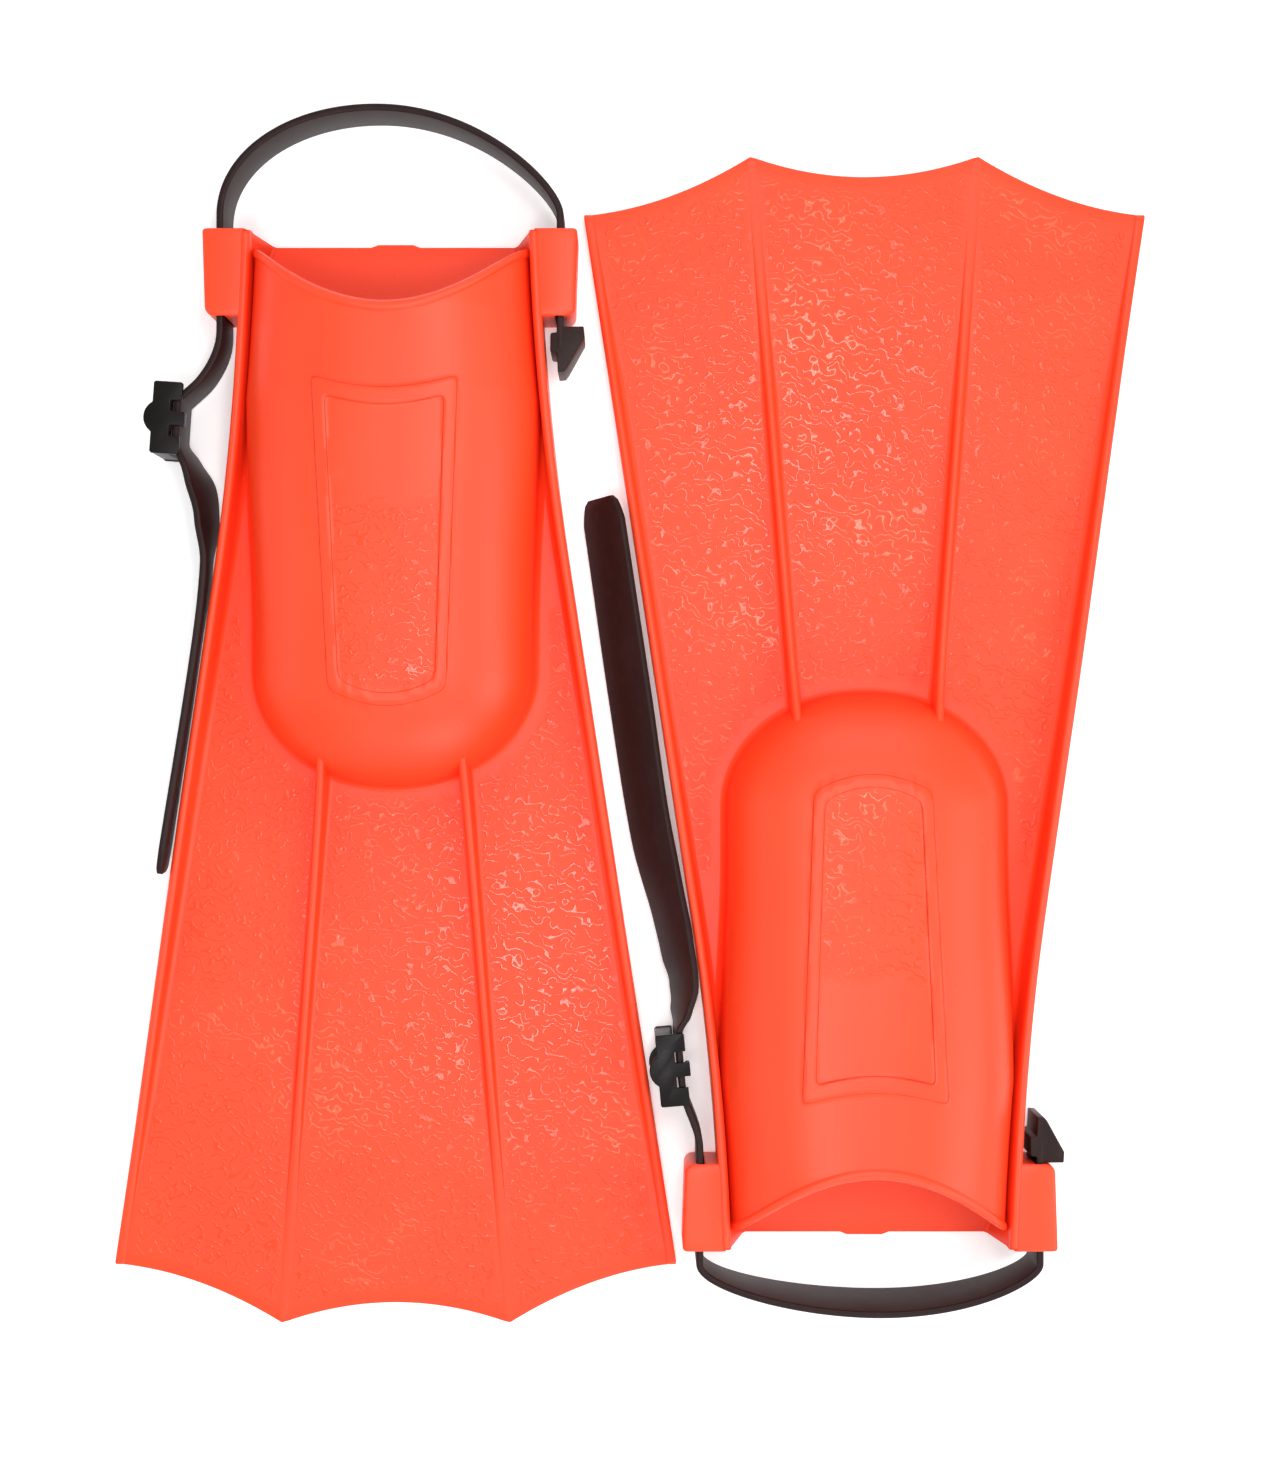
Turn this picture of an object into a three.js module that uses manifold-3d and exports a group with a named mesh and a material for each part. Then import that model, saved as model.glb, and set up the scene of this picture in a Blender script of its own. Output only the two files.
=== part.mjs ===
// A pair of open-heel swim fins, lying side by side and head to toe.
// Each fin is one rubbery moulding (foot pocket, sole, side walls, strap lugs, blade)
// with a flat rubber heel strap, an arrow-shaped stop on the strap's short end,
// and a sliding buckle with a roller on its long end.
//
// Millimetres, +Z up. The pair stands on z = 0, centred on the Z axis.
// One fin is drawn in its own plan: x across, y from the heel end of the lugs to the tip.
// side = -1 is the left foot's fin, whose buckle is on its -x side; side = +1 is the right one's.

import * as THREE from 'three';
import { mergeVertices } from 'three/addons/utils/BufferGeometryUtils.js';
import Module from 'manifold-3d';

const wasm = await Module();
wasm.setup();

// ---------- driving dimensions ----------

const FIN_LENGTH = 400; // heel end of the lugs to the tip's two points
const FIN_SPACING = 173.2; // centre line to centre line of the pair
const LEFT_SHIFT = 14; // how much nearer the left foot's fin lies
const GAP = 0.3; // clearance between neighbouring solids

// Plan of the moulding
const HEEL_HALF = 53.5; // half width over the side walls at the heel
const HEEL_SPLAY = 0.03; // how fast the walls spread at the heel, and along the blade
const BLADE_SPLAY = 0.1523;
const SPLAY_END = 120; // from here on the edges are straight
const CORNER_Y = 378; // outer corners of the tip
const TIP_POINT_X = 42; // the two points where the ribs end
const TIP_SIDE_HOLLOW = 3.8; // how deep the scallops of the tip are
const TIP_MIDDLE_HOLLOW = 7.6;
const POCKET_WAIST = 51; // half width of the foot pocket ahead of the instep
const TOE_START = 160; // the pocket's toe is round from here
const TOE_END = 201.5;
const SOLE_HEEL = 2.5; // rear edge of the sole
const RIM_APEX = 30.5; // the pocket's mouth is a parabola, deepest on the centre line
const RIM_CURVE = 0.0099;
const RIB_TOE_X = 25.3; // the ribs spread from here to the tip's points
const RIB_START = 186;

// Heights and thicknesses
const SOLE_THICKNESS = 4;
const WEB_THICKNESS = 2;
const WALL = 2.8;
const RAIL_WIDTH = 3.4;
const RIB_WIDTH = 3.2;
const INSTEP_HEIGHT = 47.5; // top of the pocket at its mouth and at the start of the toe
const TOE_HEIGHT = 37;
const ARCH_POWER = 2.8; // superellipse power of the pocket's arch
const TOE_POWER = 2.2; // and of its rounded toe, seen from the side
const RAIL_TOPS = [[60, 24], [110, 20], [160, 17.6], [210, 16], [260, 12.4], [310, 8.6], [350, 5.6]];
const RAIL_TIP = 4.2;
const RIB_TOPS = [[186, 22.5], [204, 16.5], [228, 12.8], [262, 10], [310, 7.2], [350, 5.2], [374, 4.4]];

// The blade flexes about this line, just past the toe
const FLEX_Y = 214;
const FLEX_Z = 5;
const FLEX_ANGLE = THREE.MathUtils.degToRad(15);

// Lugs and strap
const LUG_LENGTH = 31.5;
const LUG_HEIGHT = 27;
const LUG_OUTER = [67.6, 66.6]; // half width over the lugs at their heel and toe ends
const STRAP_X = 61.4; // middle of the strap in its lug
const STRAP_Z = 13.7;
const STRAP_WIDTH = 22;
const STRAP_THICKNESS = 2.6;

// Buckle: e is outward across the strap, v is along it
const PLATE = 2.2;
const FRAME_HALF_LENGTH = 13;
const FRAME_OUTER = 8.3;
const BOSS_E = 5;
const BOSS_RADIUS = 6.3;
const ROLLER_RADIUS = 3.3;
const PIN_RADIUS = 1.8;
const HOOK_END = -3.4; // the arm reaches this far past the strap

// Routes of the two straps, with the side of the buckle as +u. A knot is a place u, y, the
// heading in degrees from +y towards +u, the height z of the strap's middle, its lean towards
// the fin in degrees, and how far the curve is pulled straight before and after it.
// The lead runs from the lug to the buckle, and the tail from the buckle to the free end.
const TRAVEL = 5; // the strap stays straight this far outside each lug
const HELD = 6.3; // and this far to both sides of the roller
const STRAPS = {
  left: {
    side: -1,
    stop: LUG_LENGTH + GAP,
    loop: { depth: 21.4, apex: -4, pulls: [5, 35, 31, 8], lean: -10 },
    lead: [],
    buckle: { u: 68.3, y: 65.7, heading: 5 },
    tail: [
      { u: 69.2, y: 79, heading: -7, z: 13.7, lean: 2 },
      { u: 68, y: 85.5, heading: -11, z: 13.3, lean: 14 },
      { u: 66.9, y: 95, heading: 0, z: 12.6, lean: 23 },
      { u: 69, y: 106, heading: 10, z: 12, lean: 29 },
      { u: 71.4, y: 118.5, heading: 13, z: 11.2, lean: 32 },
      { u: 78.2, y: 147, heading: 11.5, z: 9.8, lean: 40 },
      { u: 86.6, y: 200, heading: 8.66, z: 9.3, lean: 42 },
      { u: 97.4, y: 273, heading: 8.66, z: 9.5, lean: 40 },
    ],
  },
  right: {
    side: 1,
    stop: LUG_LENGTH + 3.7,
    loop: { depth: 44, apex: 5, pulls: [10, 38, 32, 22], lean: 0 },
    lead: [{ u: 68.2, y: 53.7, heading: 38 }, { u: 75, y: 60.2, heading: 46 }],
    buckle: { u: 77.2, y: 68.6, heading: 4 },
    tail: [
      { u: 74.1, y: 83, heading: -27, z: 13.7, lean: -6 },
      { u: 70.2, y: 92, heading: -18, z: 13.2, lean: -14 },
      { u: 68.2, y: 104, heading: -3, z: 12.5, lean: -9 },
      { u: 68.4, y: 120, heading: 3, z: 12, lean: 4 },
      { u: 71.8, y: 147.5, heading: 8, z: 11.7, lean: 7 },
      { u: 85, y: 233, heading: 8.66, z: 11.6, lean: 5 },
    ],
  },
};

const PVC = { color: 0xff5433, roughness: 0.42, metalness: 0 };
const RUBBER = { color: 0x2a1f1f, roughness: 0.55, metalness: 0 };
const PLASTIC = { color: 0x141414, roughness: 0.35, metalness: 0 };

// ---------- solids ----------

function toSolid(geometry) {
  const bare = geometry.clone();
  bare.deleteAttribute('normal');
  bare.deleteAttribute('uv');
  const welded = mergeVertices(bare, 1e-4);
  const vertProperties = new Float32Array(welded.attributes.position.array);
  const triVerts = new Uint32Array(welded.index.array);
  return new wasm.Manifold(new wasm.Mesh({ numProp: 3, vertProperties, triVerts }));
}

function toGeometry(solid) {
  const { vertProperties, triVerts } = solid.getMesh();
  const geometry = new THREE.BufferGeometry();
  geometry.setAttribute('position', new THREE.BufferAttribute(vertProperties, 3));
  geometry.setIndex(new THREE.BufferAttribute(triVerts, 1));
  geometry.computeVertexNormals();
  return geometry;
}

function shapeThrough(points) {
  return new THREE.Shape(points.map(([x, y]) => new THREE.Vector2(x, y)));
}

// A plan outline raised from one height to another.
function raised(shape, bottom, top, curveSegments = 12) {
  const geometry = new THREE.ExtrudeGeometry(shape, {
    depth: top - bottom,
    bevelEnabled: false,
    curveSegments,
  });
  geometry.translate(0, 0, bottom);
  return toSolid(geometry);
}

// A side outline, drawn in y and z, carried right across the fin.
function across(shape) {
  const width = 2 * edgeHalf(FIN_LENGTH);
  const geometry = new THREE.ExtrudeGeometry(shape, {
    depth: width,
    bevelEnabled: false,
    curveSegments: 4,
  });
  const axes = [new THREE.Vector3(0, 1, 0), new THREE.Vector3(0, 0, 1), new THREE.Vector3(1, 0, 0)];
  geometry.applyMatrix4(new THREE.Matrix4().makeBasis(...axes));
  geometry.translate(-width / 2, 0, 0);
  return toSolid(geometry);
}

// A section of unit half width and unit height, carried through stations from toe to heel.
function lofted(section, stations) {
  const last = stations.length - 1;
  const geometry = new THREE.ExtrudeGeometry(section, { depth: last, steps: last, bevelEnabled: false });
  const place = geometry.attributes.position;
  for (let i = 0; i < place.count; i += 1) {
    const { y, half, bottom, top } = stations[Math.round(place.getZ(i))];
    place.setXYZ(i, place.getX(i) * half, y, bottom + place.getY(i) * (top - bottom));
  }
  return toSolid(geometry);
}

// ---------- plan and side outlines of the moulding ----------

function edgeHalf(y) {
  const bent = Math.min(y, SPLAY_END);
  const curved = ((BLADE_SPLAY - HEEL_SPLAY) * bent ** 2) / (2 * SPLAY_END);
  return HEEL_HALF + HEEL_SPLAY * bent + curved + BLADE_SPLAY * (y - bent);
}

function toeFraction(y) {
  return THREE.MathUtils.clamp((y - TOE_START) / (TOE_END - TOE_START), 0, 1);
}

// Half width of the foot pocket: it fills the space between the walls, then narrows to its waist.
function pocketHalf(y) {
  const between = edgeHalf(y) - RAIL_WIDTH - GAP;
  const narrowing = THREE.MathUtils.smoothstep(y, 60, 140);
  const wide = edgeHalf(60) - RAIL_WIDTH - GAP;
  const side = Math.min(between, THREE.MathUtils.lerp(wide, POCKET_WAIST, narrowing));
  return side * Math.sqrt(1 - toeFraction(y) ** 2);
}

function pocketTop(y) {
  const slope = (INSTEP_HEIGHT - TOE_HEIGHT) / (TOE_START - RIM_APEX);
  const ridge = Math.min(INSTEP_HEIGHT, TOE_HEIGHT + slope * (TOE_START - y));
  const rounded = (1 - toeFraction(y) ** TOE_POWER) ** (1 / TOE_POWER);
  return WEB_TOP + (ridge - WEB_TOP) * rounded;
}

const WEB_TOP = SOLE_THICKNESS;
const edgeYs = Array.from({ length: 13 }, (_, i) => (i * SPLAY_END) / 12);

// The strip between the edge and a line inset from it, on the +x or -x side.
function edgeStrip(sign, inset, width) {
  const ys = [...edgeYs, FIN_LENGTH];
  const outer = ys.map((y) => [sign * (edgeHalf(y) - inset), y]);
  const inner = ys.map((y) => [sign * (edgeHalf(y) - inset - width), y]);
  return shapeThrough([...outer, ...inner.reverse()]);
}

function scallop(shape, x, y, hollow) {
  const from = shape.currentPoint.clone();
  const to = new THREE.Vector2(x, y);
  const inward = to.clone().sub(from).normalize().multiplyScalar(2 * hollow);
  const middle = from.clone().add(to).multiplyScalar(0.5);
  shape.quadraticCurveTo(middle.x + inward.y, middle.y - inward.x, x, y);
}

// The whole moulding seen from above, with its three-scalloped tip.
function finOutline() {
  const shape = new THREE.Shape();
  shape.moveTo(-edgeHalf(0), 0);
  edgeYs.forEach((y) => shape.lineTo(-edgeHalf(y), y));
  shape.lineTo(-edgeHalf(CORNER_Y), CORNER_Y);
  scallop(shape, -TIP_POINT_X, FIN_LENGTH, TIP_SIDE_HOLLOW);
  scallop(shape, TIP_POINT_X, FIN_LENGTH, TIP_MIDDLE_HOLLOW);
  scallop(shape, edgeHalf(CORNER_Y), CORNER_Y, TIP_SIDE_HOLLOW);
  [...edgeYs].reverse().forEach((y) => shape.lineTo(edgeHalf(y), y));
  return shape;
}

// Everything inside the side walls and rails.
function insideOutline() {
  const inset = RAIL_WIDTH + GAP;
  const ys = [SOLE_HEEL, ...edgeYs.slice(1), FIN_LENGTH];
  const right = ys.map((y) => [edgeHalf(y) - inset, y]);
  const left = ys.map((y) => [inset - edgeHalf(y), y]);
  return shapeThrough([...right, ...left.reverse()]);
}

function toeAngles(count) {
  return Array.from({ length: count }, (_, i) => (Math.PI / 2) * (0.96 - (0.96 * i) / count));
}

// Stations of the foot pocket from toe to heel, inset all round by a wall.
function pocketStations(inset, bottom, heel) {
  const toe = toeAngles(9).map((angle) => TOE_START + (TOE_END - TOE_START) * Math.sin(angle));
  const ys = [...toe, TOE_START, 145, 130, 110, 90, 70, 50, 30, 15, 0, heel];
  return ys.map((y) => ({
    y: y > TOE_START ? y - inset * toeFraction(y) : y,
    half: Math.max(pocketHalf(y) - inset, 1),
    bottom,
    top: Math.max(pocketTop(y) - inset, bottom + 1),
  }));
}

function archSection() {
  const count = 26;
  const power = 2 / ARCH_POWER;
  const points = Array.from({ length: count + 1 }, (_, i) => {
    const angle = (Math.PI * i) / count;
    const x = Math.sign(Math.cos(angle)) * Math.abs(Math.cos(angle)) ** power;
    return [x, Math.sin(angle) ** power];
  });
  points[count][1] = 0;
  return shapeThrough(points);
}

// A side outline whose top follows a smooth line, for the walls, rails and ribs.
function topProfile(start, tops, end, bottom) {
  const shape = new THREE.Shape();
  shape.moveTo(start[0], bottom);
  shape.lineTo(...start);
  shape.splineThru(tops.map(([y, z]) => new THREE.Vector2(y, z)));
  shape.lineTo(...end);
  shape.lineTo(end[0], bottom);
  return shape;
}

// What lies ahead of (or behind) the flex line, with room for the blade to turn both ways.
function beyondFlex(ahead) {
  const way = ahead ? 1 : -1;
  const spread = Math.tan(FLEX_ANGLE / 2 + 0.01);
  const near = (z) => FLEX_Y - way * (GAP + Math.abs(z - FLEX_Z) * spread);
  const far = FLEX_Y + way * FIN_LENGTH;
  const [low, high] = [-1, 60];
  const notch = [low, FLEX_Z, high].map((z) => [near(z), z]);
  return across(shapeThrough([[far, low], ...notch, [far, high]]));
}

// ---------- sub-parts of the moulding ----------

function ribStrip(sign) {
  const spread = (TIP_POINT_X - RIB_TOE_X) / (FIN_LENGTH - RIB_START);
  const x = (y) => sign * (RIB_TOE_X + spread * (y - RIB_START));
  const half = RIB_WIDTH / 2;
  return shapeThrough([
    [x(RIB_START) - half, RIB_START],
    [x(RIB_START) + half, RIB_START],
    [x(FIN_LENGTH) + half, FIN_LENGTH],
    [x(FIN_LENGTH) - half, FIN_LENGTH],
  ]);
}

function rib(sign) {
  const [start, ...rest] = RIB_TOPS;
  const end = rest[rest.length - 1];
  const profile = topProfile(start, rest, end, WEB_TOP + GAP);
  return raised(ribStrip(sign), 0, 40).intersect(across(profile));
}

function footPocket() {
  const arch = archSection();
  const bottom = WEB_TOP + GAP;
  const outside = lofted(arch, pocketStations(0, bottom, -5));
  const inside = lofted(arch, pocketStations(WALL, bottom - 1, -10));
  const mouth = Array.from({ length: 25 }, (_, i) => {
    const x = -60 + i * 5;
    return [x, RIM_APEX - RIM_CURVE * x * x];
  });
  const behindMouth = raised(shapeThrough([...mouth, [60, -20], [-60, -20]]), 0, 60);
  const roots = rib(-1).add(rib(1)).subtract(beyondFlex(true));
  return outside.add(roots).subtract(inside).subtract(behindMouth);
}

function sole() {
  const toe = toeAngles(12).map((angle) => TOE_START + (TOE_END - TOE_START) * Math.sin(angle));
  const ys = [SOLE_HEEL, ...edgeYs.slice(1), 140, TOE_START, ...toe.reverse()];
  const right = ys.map((y) => [pocketHalf(y), y]);
  const left = ys.map((y) => [-pocketHalf(y), y]);
  const plate = raised(shapeThrough([...right, ...left.reverse()]), 0, SOLE_THICKNESS);
  const web = raised(insideOutline(), WEB_TOP - WEB_THICKNESS, WEB_TOP).subtract(beyondFlex(true));
  return plate.add(web);
}

function edgeRail(sign) {
  const start = [0, LUG_HEIGHT];
  const tops = [[LUG_LENGTH + 2, LUG_HEIGHT - 0.6], ...RAIL_TOPS, [CORNER_Y, RAIL_TIP]];
  const profile = topProfile(start, tops, [FIN_LENGTH, RAIL_TIP], 0);
  const strip = raised(edgeStrip(sign, 0, RAIL_WIDTH), 0, 60);
  return strip.intersect(across(profile)).intersect(raised(finOutline(), 0, 60));
}

function bladeWeb() {
  const outline = raised(finOutline(), 0, 60);
  const plate = raised(insideOutline(), WEB_TOP - WEB_THICKNESS, WEB_TOP);
  return plate.intersect(outline).subtract(beyondFlex(false));
}

function strapLug(sign) {
  const clear = [0, LUG_LENGTH].map((y) => edgeHalf(y) + GAP);
  const round = 3.5;
  const shape = new THREE.Shape();
  shape.moveTo(sign * clear[0], 0);
  shape.lineTo(sign * (LUG_OUTER[0] - 1), 0);
  shape.lineTo(sign * LUG_OUTER[0], 1);
  shape.lineTo(sign * LUG_OUTER[1], LUG_LENGTH - round);
  shape.quadraticCurveTo(sign * LUG_OUTER[1], LUG_LENGTH, sign * (LUG_OUTER[1] - round), LUG_LENGTH);
  shape.lineTo(sign * clear[1], LUG_LENGTH);
  const slot = new THREE.BoxGeometry(STRAP_THICKNESS + 2 * GAP, 2 * LUG_LENGTH, STRAP_WIDTH + 3 * GAP);
  slot.translate(sign * STRAP_X, LUG_LENGTH / 2, STRAP_Z);
  return raised(shape, 0, LUG_HEIGHT, 4).subtract(toSolid(slot));
}

// ---------- strap ----------

function headingOf({ heading }, side) {
  const angle = THREE.MathUtils.degToRad(heading);
  return new THREE.Vector3(side * Math.sin(angle), Math.cos(angle), 0);
}

// Rings along a route of knots: a middle, the two directions of the section, and its width.
function ringsAlong(knots, side, step) {
  const place = ({ u, y, z }) => new THREE.Vector3(side * u, y, z);
  const rings = [];
  knots.slice(1).forEach((to, i) => {
    const from = knots[i];
    const [a, b] = [place(from), place(to)];
    const chord = a.distanceTo(b);
    const start = headingOf(from, side).multiplyScalar(from.after ?? chord / 3);
    const finish = headingOf(to, side).multiplyScalar(to.before ?? chord / 3);
    const curve = new THREE.CubicBezierCurve3(a, a.clone().add(start), b.clone().sub(finish), b);
    const straight = from.heading === to.heading && from.z === to.z && from.lean === to.lean;
    const count = straight ? 1 : Math.max(3, Math.round(curve.getLength() / step));
    for (let k = i === 0 ? 0 : 1; k <= count; k += 1) {
      const along = curve.getTangentAt(k / count).setZ(0).normalize();
      const lean = THREE.MathUtils.lerp(from.lean, to.lean, THREE.MathUtils.smoothstep(k / count, 0, 1));
      const tilt = THREE.MathUtils.degToRad(side * lean);
      const flat = new THREE.Vector3(-along.y, along.x, 0);
      const up = new THREE.Vector3(0, 0, 1);
      rings.push({
        middle: curve.getPointAt(k / count),
        through: flat.clone().multiplyScalar(Math.cos(tilt)).addScaledVector(up, -Math.sin(tilt)),
        wide: up.clone().multiplyScalar(Math.cos(tilt)).addScaledVector(flat, Math.sin(tilt)),
        width: STRAP_WIDTH,
      });
    }
  });
  return rings;
}

function band(rings) {
  const half = STRAP_THICKNESS / 2;
  const section = shapeThrough([[-half, -0.5], [half, -0.5], [half, 0.5], [-half, 0.5]]);
  const last = rings.length - 1;
  const geometry = new THREE.ExtrudeGeometry(section, { depth: last, steps: last, bevelEnabled: false });
  const place = geometry.attributes.position;
  for (let i = 0; i < place.count; i += 1) {
    const ring = rings[Math.round(place.getZ(i))];
    const point = ring.middle.clone().addScaledVector(ring.through, place.getX(i));
    point.addScaledVector(ring.wide, place.getY(i) * ring.width);
    place.setXYZ(i, ...point);
  }
  return toSolid(geometry);
}

function loopKnots({ stop, loop }) {
  const level = { z: STRAP_Z, lean: 0 };
  const [a, b, c, d] = loop.pulls;
  return [
    { u: -STRAP_X, y: stop - GAP, heading: 180, ...level },
    { u: -STRAP_X, y: -TRAVEL, heading: 180, after: a, ...level },
    { u: loop.apex, y: -loop.depth, heading: 90, before: b, after: c, z: STRAP_Z, lean: loop.lean },
    { u: STRAP_X, y: -TRAVEL, heading: 0, before: d, ...level },
    { u: STRAP_X, y: LUG_LENGTH, heading: 0, ...level },
  ];
}

// From the outer lug through the buckle to the free end, which narrows to a blunt tongue.
function tailKnots({ lead, buckle, tail }) {
  const level = { z: STRAP_Z, lean: 0 };
  const angle = THREE.MathUtils.degToRad(buckle.heading);
  const beside = (v) => ({ u: buckle.u + v * Math.sin(angle), y: buckle.y + v * Math.cos(angle) });
  return [
    { u: STRAP_X, y: LUG_LENGTH + GAP, heading: 0, ...level },
    { u: STRAP_X, y: LUG_LENGTH + TRAVEL, heading: 0, ...level },
    ...lead.map((knot) => ({ ...knot, ...level })),
    { ...beside(-HELD), heading: buckle.heading, ...level },
    { ...beside(HELD), heading: buckle.heading, ...level },
    ...tail,
  ];
}

function strapTail(strap) {
  const rings = ringsAlong(tailKnots(strap), strap.side, 4);
  const tongue = 9;
  const end = rings[rings.length - 1].middle;
  rings.forEach((ring) => {
    const left = ring.middle.distanceTo(end) / tongue;
    ring.width = STRAP_WIDTH * (left < 1 ? 0.6 + 0.4 * Math.sqrt(left) : 1);
  });
  return band(rings);
}

// The stop moulded on the strap's short end: a long barb outside, a short one inside.
function arrowStop({ side, stop }) {
  const half = STRAP_THICKNESS / 2;
  const longBarb = [[-half, 0], [8.5, 0], [8.5, 3.9], [1.5, 16.5], [-1, 16.5]];
  const shortBarb = [[-1, 9.4], [-3.6, 9.4], [-3.6, 2.2], [-half, 2.2]];
  const shape = shapeThrough([...longBarb, ...shortBarb].map(([t, y]) => [-side * (STRAP_X + t), stop + y]));
  return raised(shape, STRAP_Z - STRAP_WIDTH / 2, STRAP_Z + STRAP_WIDTH / 2);
}

// ---------- buckle ----------

// The upper cheek also reaches over the strap, with an arm between two notches.
function cheekOutline(over) {
  const shoulder = Math.acos((FRAME_OUTER - BOSS_E) / BOSS_RADIUS);
  const [arm, foot, notch, inner] = [2.5, 6.5, 1.8, -2.2];
  const back = over ? inner : notch;
  const shape = new THREE.Shape();
  shape.moveTo(back, -FRAME_HALF_LENGTH);
  shape.lineTo(FRAME_OUTER, -FRAME_HALF_LENGTH);
  shape.absarc(BOSS_E, 0, BOSS_RADIUS, -shoulder, shoulder, false);
  shape.lineTo(FRAME_OUTER, FRAME_HALF_LENGTH);
  shape.lineTo(back, FRAME_HALF_LENGTH);
  if (over) {
    const side = [[inner, foot], [notch, foot], [notch, arm], [HOOK_END, arm]];
    const otherSide = side.map(([e, v]) => [e, -v]).reverse();
    [...side, ...otherSide].forEach((point) => shape.lineTo(...point));
  }
  const hole = new THREE.Path();
  hole.absarc(BOSS_E, 0, PIN_RADIUS + 0.1, 0, 2 * Math.PI, true);
  shape.holes.push(hole);
  return shape;
}

const CHEEK_REACH = STRAP_WIDTH / 2 + GAP; // from the strap's middle to the inside of a cheek

// Two cheeks joined by a bar at each end, outside the strap. The upper cheek's arm ends in a
// short hook that keeps the strap against the roller.
function buckleFrame() {
  const top = raised(cheekOutline(true), CHEEK_REACH, CHEEK_REACH + PLATE);
  const bottom = raised(cheekOutline(false), -CHEEK_REACH - PLATE, -CHEEK_REACH);
  const block = (e, v, z, width, length, height) => {
    const box = new THREE.BoxGeometry(width, length, height);
    box.translate(e, v, z);
    return toSolid(box);
  };
  const [barWidth, barLength, barPlace] = [5.6, 4.6, 10.2];
  const tall = 2 * CHEEK_REACH + PLATE;
  const ends = [-barPlace, barPlace].map((v) => block(BOSS_E, v, 0, barWidth, barLength, tall));
  const [hookWidth, hookLength, hookHeight, hookTop] = [1.7, 5, 5.4, 13.3];
  const [hookE, hookZ] = [HOOK_END + hookWidth / 2, hookTop - hookHeight / 2];
  const hook = block(hookE, 0, hookZ, hookWidth, hookLength, hookHeight);
  return [top, bottom, ...ends, hook].reduce((whole, piece) => whole.add(piece));
}

function buckleRoller() {
  const drum = STRAP_WIDTH / 2;
  const pin = CHEEK_REACH + PLATE - GAP;
  const profile = [[0, -pin], [PIN_RADIUS, -pin], [PIN_RADIUS, -drum], [ROLLER_RADIUS, -drum]];
  const mirrored = profile.map(([r, z]) => [r, -z]).reverse();
  const points = [...profile, ...mirrored].map(([r, z]) => new THREE.Vector2(r, z));
  const geometry = new THREE.LatheGeometry(points, 24);
  geometry.rotateX(Math.PI / 2);
  return toSolid(geometry);
}

// ---------- assembly ----------

function part(name, solid, look) {
  const mesh = new THREE.Mesh(toGeometry(solid), new THREE.MeshStandardMaterial(look));
  mesh.name = name;
  return mesh;
}

function buckle(foot, { side, buckle: { u, y, heading } }) {
  const group = new THREE.Group();
  group.position.set(side * u, y, STRAP_Z);
  group.rotation.z = THREE.MathUtils.degToRad(-side * heading) + (side < 0 ? Math.PI : 0);
  group.add(part(`${foot}_buckle_frame`, buckleFrame(), PLASTIC));
  const roller = part(`${foot}_buckle_roller`, buckleRoller(), PLASTIC);
  roller.position.x = BOSS_E;
  group.add(roller);
  return group;
}

function fin(foot) {
  const strap = STRAPS[foot];
  const group = new THREE.Group();
  group.add(part(`${foot}_foot_pocket`, footPocket(), PVC));
  group.add(part(`${foot}_sole`, sole(), PVC));
  group.add(part(`${foot}_blade_web`, bladeWeb(), PVC));
  [['outer', strap.side], ['inner', -strap.side]].forEach(([place, sign]) => {
    const rail = edgeRail(sign);
    group.add(part(`${foot}_${place}_side_wall`, rail.subtract(beyondFlex(true)), PVC));
    group.add(part(`${foot}_${place}_blade_rail`, rail.subtract(beyondFlex(false)), PVC));
    group.add(part(`${foot}_${place}_rib`, rib(sign).subtract(beyondFlex(false)), PVC));
    group.add(part(`${foot}_${place}_strap_lug`, strapLug(sign), PVC));
  });
  group.add(part(`${foot}_heel_strap`, band(ringsAlong(loopKnots(strap), strap.side, 4)), RUBBER));
  group.add(part(`${foot}_strap_tail`, strapTail(strap), RUBBER));
  group.add(part(`${foot}_arrow_stop`, arrowStop(strap), RUBBER));
  group.add(buckle(foot, strap));
  return group;
}

// The left foot's fin points along +y and the right foot's along -y, so that the pair nests.
const pair = new THREE.Group();
const reach = STRAPS.right.loop.depth + STRAP_THICKNESS / 2;
const heelY = (FIN_LENGTH - reach) / 2;
const leftFin = fin('left');
leftFin.position.set(FIN_SPACING / 2, -heelY - LEFT_SHIFT, 0);
const rightFin = fin('right');
rightFin.position.set(-FIN_SPACING / 2, heelY, 0);
rightFin.rotation.z = Math.PI;
pair.add(leftFin, rightFin);

export default pair;
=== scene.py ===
# %% [markdown]
# # A pair of open-heel swim fins
# The two fins lie on a pale floor, soles down and head to toe. Each one is a single moulding
# of soft orange plastic with a rubber heel strap, an arrow-shaped stop and a sliding buckle.
# The solids that carry the motion come in as a frame. They fix every size and every joint.
# This lesson builds the looks over them: thin shells with moulded edges, then their finishes.

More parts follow.
